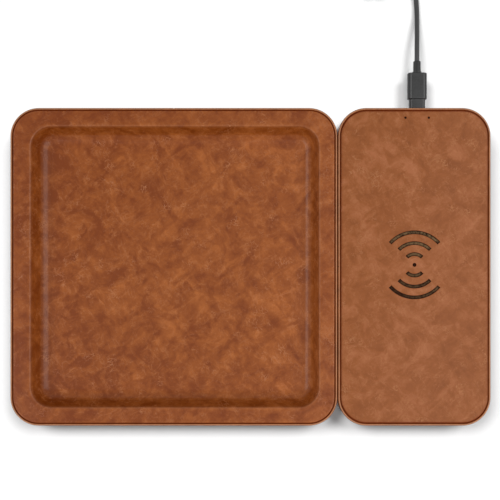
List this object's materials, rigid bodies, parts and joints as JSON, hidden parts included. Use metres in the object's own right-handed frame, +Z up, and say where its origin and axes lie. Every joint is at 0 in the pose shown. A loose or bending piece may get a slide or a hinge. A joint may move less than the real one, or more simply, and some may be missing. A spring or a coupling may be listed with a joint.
{
  "type": "charging station organizer",
  "caption": "Flat leather-covered desk organizer: a square recessed tray beside a slim wireless charging pad with a plugged-in charging cable.",
  "frame": {"origin": "under the middle of the tray and pad together, on the surface that the feet stand on", "axes": "+X from the tray to the pad, along the longest side; +Y to the rear, where the cable leaves; +Z up, through the thin way"},
  "size_m": [0.2884, 0.3199, 0.018],
  "materials": {
    "brown_leather": "marbled pull-up grain, satin",
    "brown_leather_band": "marbled pull-up grain, satin, painted edge",
    "black_abs": "moulded, fine texture",
    "black_abs_plate": "moulded, fine texture",
    "foot_rubber": "matt",
    "screw_steel": "black zinc",
    "magnet_nickel": "nickel plated",
    "mark_black": "grained print, satin",
    "board_green": "solder mask, satin",
    "chip_black": "moulded epoxy",
    "ferrite_grey": "sintered, matt",
    "capacitor_tan": "fired, satin",
    "led_resin": "clear resin",
    "pipe_clear": "smoked clear acrylic",
    "copper_winding": "enamelled litz wire",
    "socket_steel": "nickel plated, drawn",
    "socket_black": "moulded",
    "plug_overmould": "moulded, satin",
    "cable_jacket": "extruded, satin",
    "tie_fabric": "woven hook and loop",
    "insert_white": "moulded"
  },
  "bodies": {
    "tray": {"tray_shell": "black_abs", "tray_top_leather": "brown_leather", "tray_side_leather": "brown_leather_band", "tray_base_plate": "black_abs_plate", "tray_feet": "foot_rubber", "tray_screws": "screw_steel", "tray_magnets": "magnet_nickel"},
    "charger": {"charger_shell": "black_abs", "charger_top_leather": "brown_leather", "charge_mark_inlay": "mark_black", "charger_side_leather": "brown_leather_band", "charger_base_plate": "black_abs_plate", "charger_feet": "foot_rubber", "charger_screws": "screw_steel", "charger_magnets": "magnet_nickel", "circuit_board": "board_green", "controller_chips": "chip_black", "power_inductor": "ferrite_grey", "capacitors": "capacitor_tan", "status_leds": "led_resin", "light_pipes": "pipe_clear", "inner_screws": "screw_steel", "charging_coil": "copper_winding", "ferrite_sheet": "ferrite_grey", "coil_carrier": "black_abs", "socket_shell": "socket_steel", "socket_tongue": "socket_black"},
    "cable": {"plug_housing": "plug_overmould", "plug_shell": "socket_steel", "plug_insert": "socket_black", "strain_relief": "plug_overmould", "cable_run": "cable_jacket", "cable_coil": "cable_jacket", "cable_tail": "cable_jacket", "coil_tie": "tie_fabric", "far_strain_relief": "plug_overmould", "far_plug_housing": "plug_overmould", "far_plug_shell": "socket_steel", "far_plug_insert": "insert_white"}
  },
  "joints": [
    {"name": "charger_slide", "type": "slide", "parent": "tray", "child": "charger", "axis": [1, 0, 0], "range_m": [0, 0.05]},
    {"name": "plug_slide", "type": "slide", "parent": "charger", "child": "cable", "axis": [0, 1, 0], "range_m": [0, 0.015]}
  ]
}
